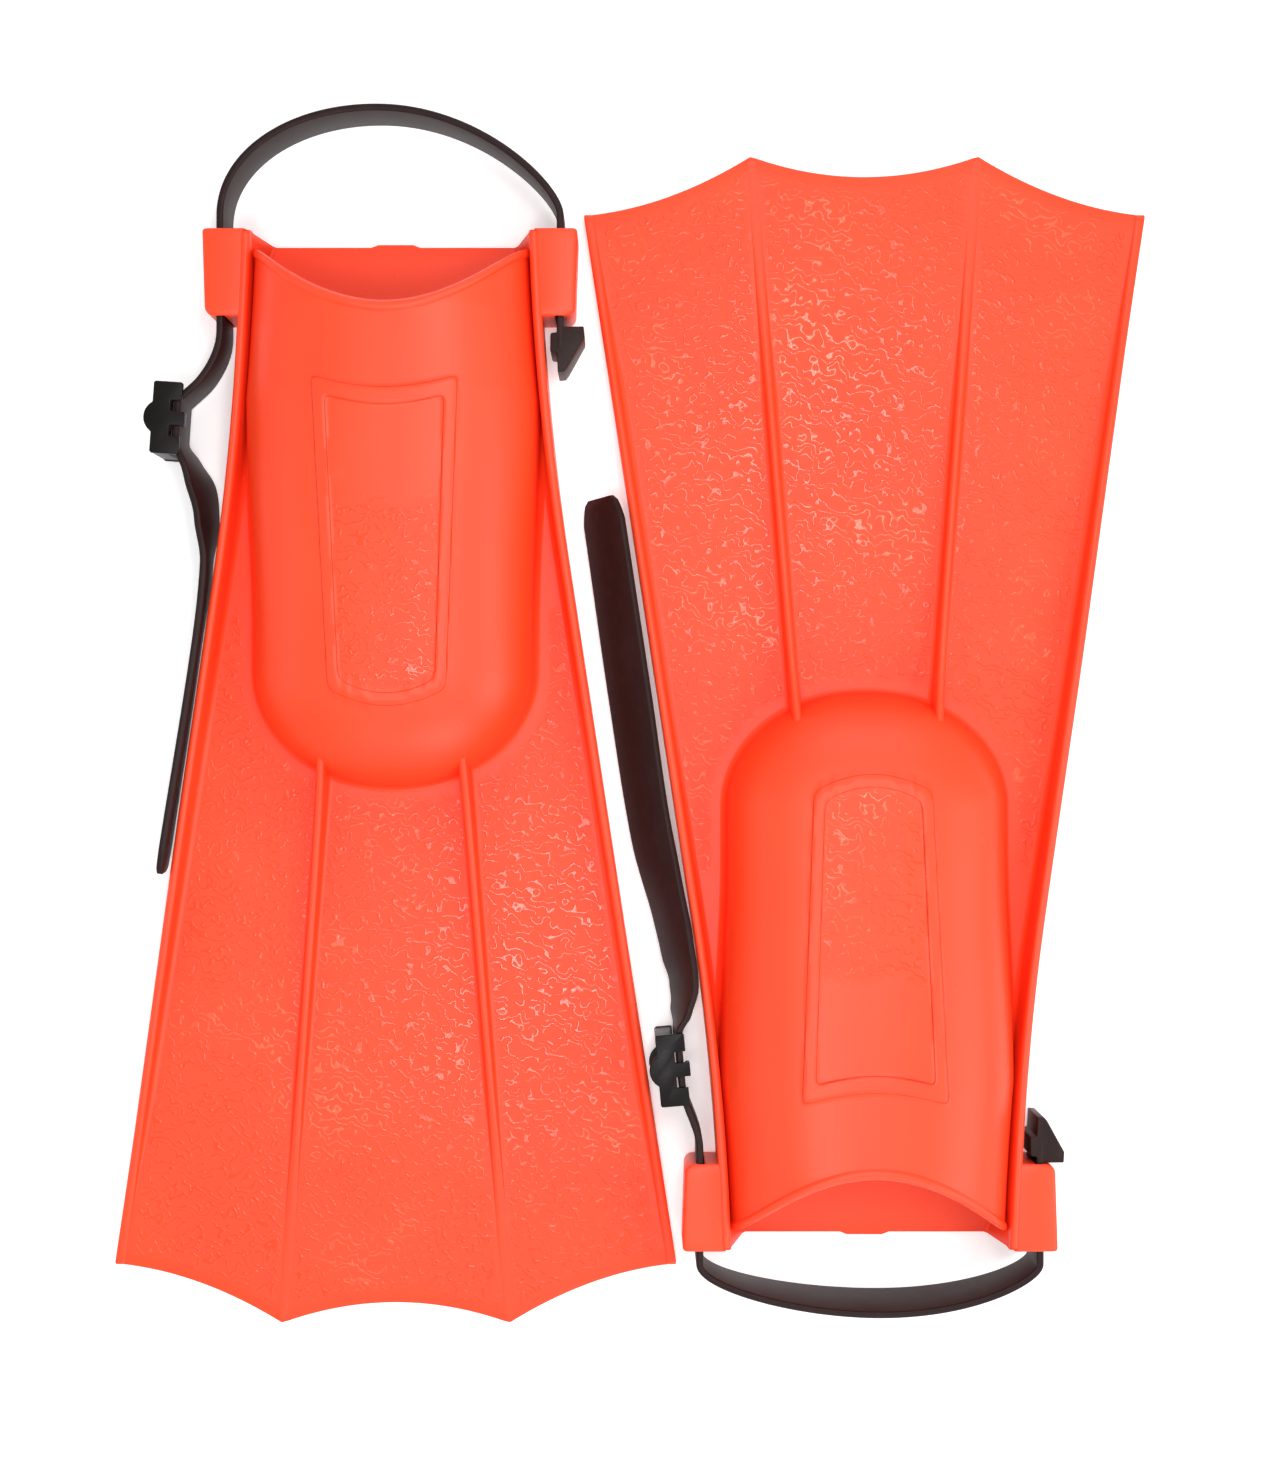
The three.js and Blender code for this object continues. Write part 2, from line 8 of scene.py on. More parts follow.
# %% Load the frame
import math
import bpy
import bmesh
import numpy as np
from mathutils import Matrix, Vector


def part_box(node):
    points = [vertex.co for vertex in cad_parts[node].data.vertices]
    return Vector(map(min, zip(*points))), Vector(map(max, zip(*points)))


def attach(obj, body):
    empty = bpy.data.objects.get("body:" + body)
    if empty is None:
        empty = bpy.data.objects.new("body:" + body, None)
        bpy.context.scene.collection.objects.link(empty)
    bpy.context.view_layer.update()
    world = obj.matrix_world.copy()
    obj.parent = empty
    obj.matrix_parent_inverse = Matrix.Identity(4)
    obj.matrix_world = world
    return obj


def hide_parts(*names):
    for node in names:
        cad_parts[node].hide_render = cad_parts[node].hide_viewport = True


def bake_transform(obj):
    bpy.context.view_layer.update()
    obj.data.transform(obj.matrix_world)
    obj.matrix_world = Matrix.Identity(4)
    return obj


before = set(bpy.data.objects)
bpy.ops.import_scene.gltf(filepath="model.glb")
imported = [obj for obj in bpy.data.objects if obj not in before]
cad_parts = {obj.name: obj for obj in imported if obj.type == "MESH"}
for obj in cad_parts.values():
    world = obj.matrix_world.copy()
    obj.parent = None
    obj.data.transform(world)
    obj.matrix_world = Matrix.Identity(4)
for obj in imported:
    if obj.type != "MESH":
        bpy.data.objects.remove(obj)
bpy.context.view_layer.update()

# %% [markdown]
# ## Drawing one fin, placing two
# Both fins are the same drawing, mirrored. So each shape is worked out once, in millimetres:
# u runs across the fin towards its buckle, y from the heel end of the lugs to the tip, z up.
# A fin's place and heading come from its own solids, so nothing here has to be fitted.

# %% Where each fin lies
def centre(node, axis):
    low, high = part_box(node)
    return (low[axis] + high[axis]) / 2


class Fin:
    def __init__(self, foot, buckle_side):
        self.foot = foot
        self.middle = centre(f"{foot}_foot_pocket", 0)
        heel, tip = centre(f"{foot}_outer_strap_lug", 1), centre(f"{foot}_blade_web", 1)
        self.ahead = 1 if tip > heel else -1
        low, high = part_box(f"{foot}_outer_strap_lug")
        self.heel = low[1] if self.ahead > 0 else high[1]
        self.across = buckle_side * self.ahead

    def place(self, points):
        u, y, z = np.moveaxis(np.asarray(points, float), -1, 0)
        world = [self.middle + self.across * u / 1000, self.heel + self.ahead * y / 1000, z / 1000]
        return np.stack(world, axis=-1)


fins = [Fin("left", -1), Fin("right", 1)]
for fin in fins:
    print(fin.foot, "fin: middle", round(fin.middle, 4), "heel", round(float(fin.heel), 4))

# %% [markdown]
# ## Small tools for building surfaces
# A moulding is mostly swept and lofted, so most surfaces here are grids: rows of points
# joined by four-sided faces. A grid can close on itself like a tube, and its ends can be
# capped. Other ways would be to sculpt the fin or to bevel blocks, but a grid follows a
# formula exactly and its faces run along the shape, which keeps highlights clean.

# %% A surface under construction
class Surface:
    def __init__(self):
        self.points, self.faces, self.count = [], [], 0
        self.marks = {"crinkle": [], "border": []}

    def add(self, points, crinkle=0.0, border=-3.0):
        points = np.asarray(points, float)
        index = self.count + np.arange(points.size // 3).reshape(points.shape[:-1])
        self.points.append(points.reshape(-1, 3))
        self.marks["crinkle"].append(np.broadcast_to(crinkle, points.shape[:-1]).reshape(-1))
        self.marks["border"].append(np.broadcast_to(border, points.shape[:-1]).reshape(-1))
        self.count += points.size // 3
        return index

    def skin(self, index, around=False):
        if around:
            index = np.concatenate([index, index[:, :1]], axis=1)
        corners = [index[:-1, :-1], index[1:, :-1], index[1:, 1:], index[:-1, 1:]]
        self.faces += np.stack(corners, axis=-1).reshape(-1, 4).tolist()

    def loft(self, rings):
        index = self.add(rings)
        self.skin(index, around=True)
        self.faces += [index[0].tolist(), index[-1].tolist()]

    def slab(self, top, bottom, mark=0.0):
        upper, lower = self.add(top, mark), self.add(bottom)
        self.skin(upper)
        self.skin(lower)
        edges = [np.concatenate([g[0], g[1:, -1], g[-1, -2::-1], g[-2:0:-1, 0]]) for g in (upper, lower)]
        self.skin(np.stack(edges), around=True)

    def finish(self, name, fin, angle=35):
        mesh = bpy.data.meshes.new(name)
        mesh.from_pydata(fin.place(np.concatenate(self.points)).tolist(), [], self.faces)
        for mark, values in self.marks.items():
            attribute = mesh.attributes.new(mark, "FLOAT", "POINT")
            attribute.data.foreach_set("value", np.concatenate(values).astype(np.float32))
        work = bmesh.new()
        work.from_mesh(mesh)
        bmesh.ops.remove_doubles(work, verts=work.verts, dist=1e-6)
        bmesh.ops.recalc_face_normals(work, faces=work.faces)
        work.to_mesh(mesh)
        work.free()
        mesh.shade_smooth()
        mesh.set_sharp_from_angle(angle=math.radians(angle))
        piece = bpy.data.objects.new(name, mesh)
        bpy.context.scene.collection.objects.link(piece)
        print(name, len(mesh.polygons), "faces")
        return piece


# %% [markdown]
# Side views are drawn with a few knots and a smooth line through them. The line takes its
# slope at each knot from the knots beside it, so it passes through every knot without a kink.

# %% A smooth line through a few knots
def smooth_line(at, knots):
    x, y = np.array(knots, float).T
    slope = np.gradient(y, x)
    at = np.clip(at, x[0], x[-1])
    i = np.clip(np.searchsorted(x, at, side="right") - 1, 0, len(x) - 2)
    width = x[i + 1] - x[i]
    t = (at - x[i]) / width
    ends = (1 + 2 * t) * (1 - t) ** 2 * y[i] + t**2 * (3 - 2 * t) * y[i + 1]
    return ends + width * (t * (1 - t) ** 2 * slope[i] - t**2 * (1 - t) * slope[i + 1])


def ease(value, start, end):
    t = np.clip((value - start) / (end - start), 0, 1)
    return t * t * (3 - 2 * t)


def blunt(count, length, size):
    """Distances along a sweep, close together at both ends, and how full the section is there."""
    turn = np.linspace(0, np.pi / 2, 4)
    start, full = size * (1 - np.cos(turn)), np.sin(turn)
    inner = np.linspace(size, length - size, count)[1:-1]
    along = np.concatenate([start, inner, length - start[::-1]])
    return along, np.concatenate([full, np.ones(count - 2), full[::-1]])


# %% [markdown]
# ## The outline of the moulding
# The side walls rise at the heel, spread along the foot and run out straight as the blade's
# rails. The tip has three hollows between two points and two corners, and each rib ends in a
# point. The numbers are the same driving dimensions as the solids', so both agree.

# %% Plan and heights of the moulding
FIN_LENGTH = 400
CORNER_Y = 378
TIP_POINT = 42
SIDE_HOLLOW, MIDDLE_HOLLOW = 4.1, 7.6  # how deep the tip's hollows are
HEEL_HALF = 53.5
HEEL_SLOPE, BLADE_SLOPE = 0.03, 0.1523  # how fast the sides spread
SPLAY_END = 120
RAIL_WIDTH = 3.4
RIB_WIDTH = 3.2
WEB_TOP = 4.0
WEB_THICKNESS = 2.0
WALL = 2.8
WAIST_Y, TOE_BOX_Y, TOE_BOX_HALF = 60, 140, 51
TOE_START, TOE_END = 160, 201.5
TOE_BOX_TOP, INSTEP_TOP = 37, 47.5
TOE_POWER = 2.2  # how full the toe's side view is
RIM_APEX, RIM_CURVE = 30.5, 0.0099
SOLE_HEEL = 2.5
RAIL_TOPS = [(0, 27), (33.5, 26.4), (60, 24), (110, 20), (160, 17.6), (210, 16),
             (260, 12.4), (310, 8.6), (350, 5.6), (378, 4.4), (400, 4.2)]
RIB_TOPS = [(174, 25), (186, 22.5), (204, 16.5), (228, 12.8), (262, 10), (310, 7.2),
            (345, 5.0), (372, 4.15), (400, 4.05)]


def edge_half(y):
    bent = np.minimum(y, SPLAY_END)
    turned_out = (BLADE_SLOPE - HEEL_SLOPE) * bent**2 / (2 * SPLAY_END)
    return HEEL_HALF + HEEL_SLOPE * bent + turned_out + BLADE_SLOPE * (y - bent)


def tip_end(u):
    u = np.abs(u)
    corner = float(edge_half(CORNER_Y))
    side = np.clip((u - TIP_POINT) / (corner - TIP_POINT), 0, 1.2)
    hollow = 4 * SIDE_HOLLOW * side * (1 - np.minimum(side, 1))
    outer = FIN_LENGTH - (FIN_LENGTH - CORNER_Y) * side - hollow
    middle = FIN_LENGTH - MIDDLE_HOLLOW * (1 - (u / TIP_POINT) ** 2)
    return np.where(u > TIP_POINT, outer, middle)


def toe_fraction(y):
    return np.clip((y - TOE_START) / (TOE_END - TOE_START), 0, 1)


def pocket_half(y):
    between = edge_half(y) - RAIL_WIDTH + 0.2
    waist = edge_half(WAIST_Y) - RAIL_WIDTH + 0.2
    side = np.minimum(between, waist + (TOE_BOX_HALF - waist) * ease(y, WAIST_Y, TOE_BOX_Y))
    return side * np.sqrt(1 - toe_fraction(y) ** 2)


def pocket_top(y):
    rise = (INSTEP_TOP - TOE_BOX_TOP) * (TOE_START - y) / (TOE_START - RIM_APEX)
    ridge = np.minimum(INSTEP_TOP, TOE_BOX_TOP + rise)
    return WEB_TOP + (ridge - WEB_TOP) * (1 - toe_fraction(y) ** TOE_POWER) ** (1 / TOE_POWER)


halves = [round(float(edge_half(y)), 1) for y in (0, SPLAY_END, CORNER_Y)]
print("half width at heel, instep and corner:", *halves)

# %% [markdown]
# ## Blade web and sole
# The web is a 2 mm sheet that stretches between the rails. Under the foot it thickens to a
# 4 mm sole. Its last rows bend towards the scalloped tip, so the edge is a clean line of
# vertices and not a cut. The same grid carries a mark on the vertices of the textured panels:
# the crinkled grain stops in an even margin along each rib, rail and edge.

# %% Web and sole
RIB_TOE = 25.3
RIB_START, RIB_SPLAY = 174, 186
RIB_MARGIN, RAIL_MARGIN, TIP_MARGIN = 2.6, 5.6, 4
SMOOTH_HALF, SMOOTH_LENGTH = 56, 47  # the smooth oval round the toe of the pocket
GRAIN_START = 135  # the crinkled panels begin beside the pocket
TUCK = 0.8  # how far the web reaches into the rails
NUB_HALF = 8  # the small tab at the sole's heel end


def rib_middle(y):
    return RIB_TOE + (TIP_POINT - RIB_TOE) * (y - RIB_SPLAY) / (FIN_LENGTH - RIB_SPLAY)


def panel_mark(u, y):
    """1 on the crinkled panels, 0 on the smooth margins round them."""
    u = np.abs(u)
    from_rib = np.abs(u - rib_middle(y)) - RIB_MARGIN
    from_rail = edge_half(y) - u - RAIL_MARGIN
    from_tip = tip_end(u) - y - TIP_MARGIN
    round_toe = 45 * (np.hypot(u / SMOOTH_HALF, (y - TOE_START) / SMOOTH_LENGTH) - 1)
    from_toe = np.minimum(np.where(y > TOE_START, round_toe, u - SMOOTH_HALF), y - GRAIN_START)
    return ease(np.minimum.reduce([from_rib, from_rail, from_tip, from_toe]), 0, 1.6)


def add_web(surface):
    across = np.sin(np.linspace(-np.pi / 2, np.pi / 2, 7))
    wide = np.linspace(-1, 1, 96)
    f = np.unique(np.concatenate([wide, 0.99 * across]))[None, :]
    t = np.linspace(0, 1, 112)[:, None]
    y_start = 6.0
    u_tip = f * (edge_half(CORNER_Y) - TUCK)
    y = y_start + (tip_end(u_tip) - y_start) * t
    half = np.where(y > CORNER_Y, edge_half(CORNER_Y), edge_half(y)) - TUCK
    u = f * half
    mark = panel_mark(u, y)
    tip_round = ease(tip_end(u) - y, 0, 2.0)
    top = np.stack([u, y, WEB_TOP - 0.5 * (1 - tip_round)], axis=-1)
    bottom = np.stack([u, y, WEB_TOP - WEB_THICKNESS + 0.3 * (1 - tip_round)], axis=-1)
    surface.slab(top, bottom, mark)


def add_sole(surface):
    toe = TOE_START + 40.4 * np.sin(np.linspace(0.05, 1.55, 24))
    y = np.concatenate([np.linspace(SOLE_HEEL, TOE_START, 60), toe])[:, None]
    f = np.linspace(-1, 1, 40)[None, :]
    edge = ease(1 - np.abs(f), 0, 0.03) * ease(y, SOLE_HEEL, 4)
    half = np.maximum(pocket_half(y), 0.5)
    nub = np.where((y < 3) & (np.abs(f * half) < NUB_HALF), -1.0, 0.0)
    top = np.stack([f * half, y + nub, WEB_TOP + 0.15 - 0.5 * (1 - edge)], axis=-1)
    bottom = np.stack([f * half, y + nub, 0.5 * (1 - edge)], axis=-1)
    surface.slab(top, bottom)


# %% [markdown]
# ## Side walls, rails and ribs
# These are stiffeners: thin walls that stand on the web, tallest near the foot. A moulded
# stiffener has a rounded crest and a flared foot, because sharp corners tear. The section is
# drawn with both, and swept along the wall while its height follows the side view. A rail's
# outer side is plain, so its section leaves out the outer flare.

# %% A stiffener swept along the blade
def stiffener_section(width, height, foot, base):
    """Offsets from the wall's middle, and heights, from one foot over the crest to the other."""
    half = width / 2
    crest = min(half, max(height - base, 0.2) * 0.5)
    turn = np.linspace(0, np.pi, 9)
    over = [(-half * np.cos(a), height - crest + crest * np.sin(a)) for a in turn]
    reach = np.clip((height - base) * 0.6, 0.0, foot)
    curl = [(half + reach * (1 - math.sin(a)), base + reach * (1 - math.cos(a)))
            for a in (0.0, 0.5, 1.0, 1.4)]
    left = [(-d, z) for d, z in curl]
    return left + over + curl[::-1]


def add_rails(surface, sign):
    y, full = blunt(130, CORNER_Y + 0.4, 1.4)
    rings = []
    for at, share in zip(y, full):
        height = float(smooth_line(at, RAIL_TOPS))
        mid = float(edge_half(at)) - RAIL_WIDTH / 2
        section = stiffener_section(RAIL_WIDTH, height, 2.6, WEB_TOP - 0.1)
        half = RAIL_WIDTH / 2
        inner = [(d, z) for d, z in section if d <= half + 1e-6]
        outline = inner + [(half, 0.6), (half - 0.6, 0.0), (-half, 0.0), (-half, 2.1)]
        thick, tall = 0.7 + 0.3 * share, 0.75 + 0.25 * share
        rings.append([(sign * (mid + d * thick), at, max(z, 0) * tall) for d, z in outline])
    surface.loft(rings)


def add_rib(surface, sign):
    y, full = blunt(90, FIN_LENGTH - 1.6 - RIB_START, 1.2)
    rings = []
    for at, share in zip(y + RIB_START, full):
        height = float(smooth_line(at, RIB_TOPS))
        width = RIB_WIDTH + 0.6 * float(ease(at, 300, 385))
        section = stiffener_section(width, height, 2.0, WEB_TOP - 0.12)
        outline = section + [(width / 2, 3.0), (-width / 2, 3.0)]
        rings.append([(sign * (rib_middle(at) + d * (0.6 + 0.4 * share)), at, z) for d, z in outline])
    surface.loft(rings)


# %% [markdown]
# ## Foot pocket
# The pocket is an arched shell 2.8 mm thick: wide and open at the instep, rounded off over
# the toes. It could be a subdivided cage, but its section is so regular that a superellipse
# swept from the mouth to the toes gives it directly. Then the outer skin is pushed along its
# own normals for the moulded details: a bead round the mouth, and on the instep a long panel
# with a raised border.

# %% Foot pocket surfaces
ARCH_POWER = 2.8  # 2 would be an ellipse, and more is squarer
ARCH_RISE = 36
BEAD_ROWS = [0, 0.25, 0.6, 1.0, 1.5, 2.0, 2.5, 2.9, 3.3, 3.8, 4.6]
BEAD_HALF, BEAD_HEIGHT = 1.5, 0.95
BORDER = dict(half_heel=25.6, half_toe=20.8, heel=60, toe=172, bow_heel=4.5, bow_toe=6)
PANEL = dict(half_heel=20.9, half_toe=17.0, heel=66, toe=167.5, bow_heel=3.6, bow_toe=5)


def arch_profile(count):
    """Points of the arch, evenly spaced along a typical section."""
    a = np.linspace(0, np.pi, 4001)
    p = np.sign(np.cos(a)) * np.abs(np.cos(a)) ** (2 / ARCH_POWER)
    q = np.sin(a) ** (2 / ARCH_POWER)
    steps = np.hypot(np.diff(TOE_BOX_HALF * p), np.diff(34 * q))
    walked = np.concatenate([[0], np.cumsum(steps)])
    even = np.interp(np.linspace(0, walked[-1], count), walked, a)
    p = np.sign(np.cos(even)) * np.abs(np.cos(even)) ** (2 / ARCH_POWER)
    q = np.abs(np.sin(even)) ** (2 / ARCH_POWER)
    q[0] = q[-1] = 0
    return p, q


def pocket_grid(columns, rows, inset, base):
    p, q = arch_profile(columns)
    mouth = np.full_like(p, 20.0)
    for _ in range(6):
        mouth = RIM_APEX - RIM_CURVE * (p * (pocket_half(mouth) - inset)) ** 2
    straight = np.linspace(0, 1, rows)[:, None]
    edge = np.array(BEAD_ROWS)[:, None]
    body = mouth + BEAD_ROWS[-1] + (TOE_START - mouth - BEAD_ROWS[-1]) * straight[1:]
    turn = np.sin(np.linspace(0, np.pi / 2, 30)[1:])[:, None]
    toe_length = TOE_END - TOE_START
    toe = (TOE_START + (toe_length - inset) * turn) * np.ones_like(mouth)
    y = np.concatenate([mouth + edge, body, toe])
    outer_y = TOE_START + (y - TOE_START) * toe_length / (toe_length - inset)
    true_y = np.where(y > TOE_START, outer_y, y)
    half = np.maximum(pocket_half(true_y) - inset * np.sqrt(1 - toe_fraction(true_y) ** 2), 0)
    top = base + (pocket_top(true_y) - WEB_TOP) * (1 - inset / ARCH_RISE)
    return np.stack([p * half, y, base + q * (top - base)], axis=-1), y - mouth


def grid_normals(points):
    along = np.gradient(points, axis=0)
    around = np.gradient(points, axis=1)
    normal = np.cross(around, along)
    length = np.linalg.norm(normal, axis=-1, keepdims=True)
    return normal / np.maximum(length, 1e-9)


def inside_panel(u, y, half_heel, half_toe, heel, toe, bow_heel, bow_toe):
    """Distance inside a long panel with bowed ends, in millimetres."""
    half = half_heel + (half_toe - half_heel) * (y - heel) / (toe - heel)
    ends = np.minimum(y - (heel - bow_heel * (u / half) ** 2), (toe - bow_toe * (u / half) ** 2) - y)
    sides = half - np.abs(u)
    return -np.log(np.exp(-sides) + np.exp(-ends))


def add_pocket(surface):
    outer, from_rim = pocket_grid(200, 150, 0.0, WEB_TOP - 0.2)
    u, y = outer[..., 0], outer[..., 1]
    bead = np.sqrt(np.clip(1 - ((from_rim - BEAD_HALF) / BEAD_HALF) ** 2, 0, 1)) * BEAD_HEIGHT
    border = inside_panel(u, y, **BORDER)
    panel = inside_panel(u, y, **PANEL)
    ring = np.minimum(border, -panel)
    raised = 0.7 * ease(ring, -0.4, 0.5)
    normal = grid_normals(outer)
    outward = np.sign(normal[20, 100, 2])  # a point on the crown, where outward is up
    outer = outer + outward * normal * (bead + raised)[..., None]
    mark = ease(panel, 0.2, 1.6) * ease(y + 1.5 * np.sin(u / 4.0), 95, 104)
    inner, _ = pocket_grid(200, 20, WALL, WEB_TOP - 0.2)
    out_index = surface.add(outer, mark, np.clip(ring, -3, 3))
    in_index = surface.add(inner)
    surface.skin(out_index)
    surface.skin(in_index)
    lip = (outer[0] + inner[0]) / 2
    lip[:, 1] -= 0.9
    lip_index = surface.add(lip)
    surface.skin(np.stack([out_index[0], lip_index, in_index[0]]))


def add_toe_foot(surface):
    """The flared foot where the pocket meets the web, from the walls round the toe."""
    a = np.linspace(0, np.pi / 2, 40)
    toe_y = TOE_START + (TOE_END - TOE_START) * np.sin(a)
    y = np.concatenate([np.linspace(64, TOE_START, 40)[:-1], toe_y])
    half = pocket_half(y)
    u = np.concatenate([half, -half[::-1][1:]])
    y = np.concatenate([y, y[::-1][1:]])
    tangent = np.stack([np.gradient(u), np.gradient(y)], axis=-1)
    tangent /= np.linalg.norm(tangent, axis=-1, keepdims=True)
    out = np.stack([tangent[:, 1], -tangent[:, 0]], axis=-1)
    reach = 3.2 * np.minimum(1, np.clip((edge_half(y) - RAIL_WIDTH - np.abs(u)) / 4, 0.15, 1))
    rings = []
    for turn in np.linspace(0, np.pi / 2, 7):
        away = reach * (1 - math.sin(turn)) - 0.3
        height = WEB_TOP - 0.1 + reach * (1 - math.cos(turn)) * 1.5
        rings.append(np.stack([u + out[:, 0] * away, y + out[:, 1] * away, height], axis=-1))
    inside = np.stack([u - out[:, 0] * 1.5, y - out[:, 1] * 1.5, np.full_like(u, WEB_TOP - 0.1)], axis=-1)
    rings.append(inside)
    surface.skin(surface.add(np.stack(rings)))


# %% [markdown]
# ## Strap lugs
# Each lug is a block outside the side wall with a slot for the strap. The slot goes right
# through, so the block is lofted as a closed frame: an outer outline and a slot outline are
# swept along y together, and the two are joined at both ends.

# %% Strap lugs
STRAP_U = 61.4
STRAP_Z = 13.7
LUG_LENGTH, LUG_OUTER, LUG_TOP = 31.5, 67.6, 26.3
HEEL_ROUND, TOE_ROUND, EDGE_ROUND = 1.2, 3.2, 0.8
SLOT_HALF, SLOT_LOW, SLOT_HIGH = 1.55, 2.4, 25.1


def rounded_box(low, high, bottom, top, radius):
    turn = np.linspace(0, np.pi / 2, 4)
    corners = [(high - radius, top - radius, 0), (low + radius, top - radius, 1),
               (low + radius, bottom + radius, 2), (high - radius, bottom + radius, 3)]
    points = [(cx + radius * np.cos(turn + k * np.pi / 2), cz + radius * np.sin(turn + k * np.pi / 2))
              for cx, cz, k in corners]
    return np.concatenate([np.stack(pair, axis=-1) for pair in points])


def add_lug(surface, sign):
    turn = np.linspace(0, np.pi / 2, 6)
    along, less_wide = 1 - np.cos(turn), 1 - np.sin(turn)
    toe_ys = LUG_LENGTH - TOE_ROUND * along[::-1]
    y = np.concatenate([HEEL_ROUND * along, np.linspace(4, 26, 5), toe_ys])
    cut = np.concatenate([HEEL_ROUND * less_wide, np.zeros(5), TOE_ROUND * less_wide[::-1]])
    shrink = EDGE_ROUND * np.concatenate([less_wide, np.zeros(5), less_wide[::-1]])
    outer, slot = [], []
    for at, corner, less in zip(y, cut, shrink):
        high = LUG_OUTER - at / LUG_LENGTH - corner
        box = rounded_box(float(edge_half(at)) - 1.5, high, less, LUG_TOP - less, 1.3)
        outer.append([(sign * d, at, z) for d, z in box])
        flare = 0.5 * less
        slot_half = SLOT_HALF + flare
        slot_end = min(STRAP_U + slot_half, high - 1.0)
        box = rounded_box(STRAP_U - slot_half, slot_end, SLOT_LOW - flare, SLOT_HIGH + flare, 0.8)
        slot.append([(sign * d, at, z) for d, z in box])
    outside, inside = surface.add(outer), surface.add(slot)
    surface.skin(outside, around=True)
    surface.skin(inside, around=True)
    for end in (0, -1):
        surface.skin(np.stack([outside[end], inside[end]]), around=True)


# %% [markdown]
# At its heel end each side wall leans on a small gusset, which slopes down to the sole and
# fades out under the mouth of the pocket.

# %% Gussets
GUSSET_LENGTH = 13
GUSSET_SLANT = 1.9  # its heel face leans forward towards the sole


def add_gusset(surface, sign):
    rings = []
    for share in np.linspace(0, 1, 12):
        y = 0.7 + GUSSET_LENGTH * share
        wall = float(edge_half(y)) - 1.5
        foot, top = 44.0 + 6.0 * share**1.5, 25.5 - 14 * share**1.5
        base = [(wall, 3.2), (foot, 3.2), (foot + 0.2, 4.6), (foot + 1.2, 5.4)]
        section = base + [(wall - 1.6, top - 0.6), (wall, top)]
        slant = GUSSET_SLANT * (1 - share) / (wall - foot)
        rings.append([(sign * u, y + slant * (wall - u), z) for u, z in section])
    surface.loft(rings)


# %% Build both mouldings
MOULDING = ["foot_pocket", "sole", "outer_side_wall", "inner_side_wall",
            "outer_strap_lug", "inner_strap_lug", "blade_web",
            "outer_blade_rail", "inner_blade_rail", "outer_rib", "inner_rib"]
mouldings = {}
for fin in fins:
    surface = Surface()
    add_web(surface)
    add_sole(surface)
    for sign in (-1, 1):
        add_rails(surface, sign)
        add_rib(surface, sign)
        add_lug(surface, sign)
        add_gusset(surface, sign)
    add_pocket(surface)
    add_toe_foot(surface)
    mouldings[fin.foot] = surface.finish(f"{fin.foot}_fin_moulding", fin)

# %% [markdown]
# ## The rubber strap
# The strap is a flat band that stands on edge. Its shape is set by where it is held: straight
# through both lugs and the buckle, bowed round the heel, and hanging loose at its tail. So
# its route is a chain of smooth curves between a few knots, and each knot states a place, a
# heading, the height of the middle and how far the band leans over. A curve object could
# carry it, but its twist is hard to steer, so the section is swept ring by ring.

# %% Routes of the straps
STRAP_WIDTH = 22
STRAP_THICKNESS = 2.6
TRAVEL = 5  # the strap runs straight this far outside its lugs
HELD = 6.3  # and this far to either side of the roller
RING_STEP = 2.0
TONGUE = 9  # the free end narrows over this length
IN_ARROW = 8  # the short end reaches this far into its arrow
STRAPS = {
    "left": dict(
        stop=LUG_LENGTH + 0.3,
        loop=dict(depth=21.4, apex=-4, pulls=(5, 35, 31, 8), lean=-10),
        lead=[],
        buckle=dict(u=68.3, y=65.7, heading=5),
        tail=[
            dict(u=69.2, y=79, heading=-7, z=13.7, lean=2),
            dict(u=68, y=85.5, heading=-11, z=13.3, lean=14),
            dict(u=66.9, y=95, heading=0, z=12.6, lean=23),
            dict(u=69, y=106, heading=10, z=12, lean=29),
            dict(u=71.4, y=118.5, heading=13, z=11.2, lean=32),
            dict(u=78.2, y=147, heading=11.5, z=9.8, lean=40),
            dict(u=86.6, y=200, heading=8.66, z=9.3, lean=42),
            dict(u=97.4, y=273, heading=8.66, z=9.5, lean=40),
        ]),
    "right": dict(
        stop=LUG_LENGTH + 3.7,
        loop=dict(depth=44, apex=5, pulls=(10, 38, 32, 22), lean=0),
        lead=[dict(u=68.2, y=53.7, heading=38), dict(u=75, y=60.2, heading=46)],
        buckle=dict(u=77.2, y=68.6, heading=4),
        tail=[
            dict(u=74.1, y=83, heading=-27, z=13.7, lean=-6),
            dict(u=70.2, y=92, heading=-18, z=13.2, lean=-14),
            dict(u=68.2, y=104, heading=-3, z=12.5, lean=-9),
            dict(u=68.4, y=120, heading=3, z=12, lean=4),
            dict(u=71.8, y=147.5, heading=8, z=11.7, lean=7),
            dict(u=85, y=233, heading=8.66, z=11.6, lean=5),
        ]),
}


def buckle_place(strap, points):
    """Turns points from the buckle's own e, v into the fin's u, y."""
    spot = strap["buckle"]
    angle = math.radians(spot["heading"])
    return [(spot["u"] + e * math.cos(angle) + v * math.sin(angle),
             spot["y"] - e * math.sin(angle) + v * math.cos(angle)) for e, v in points]


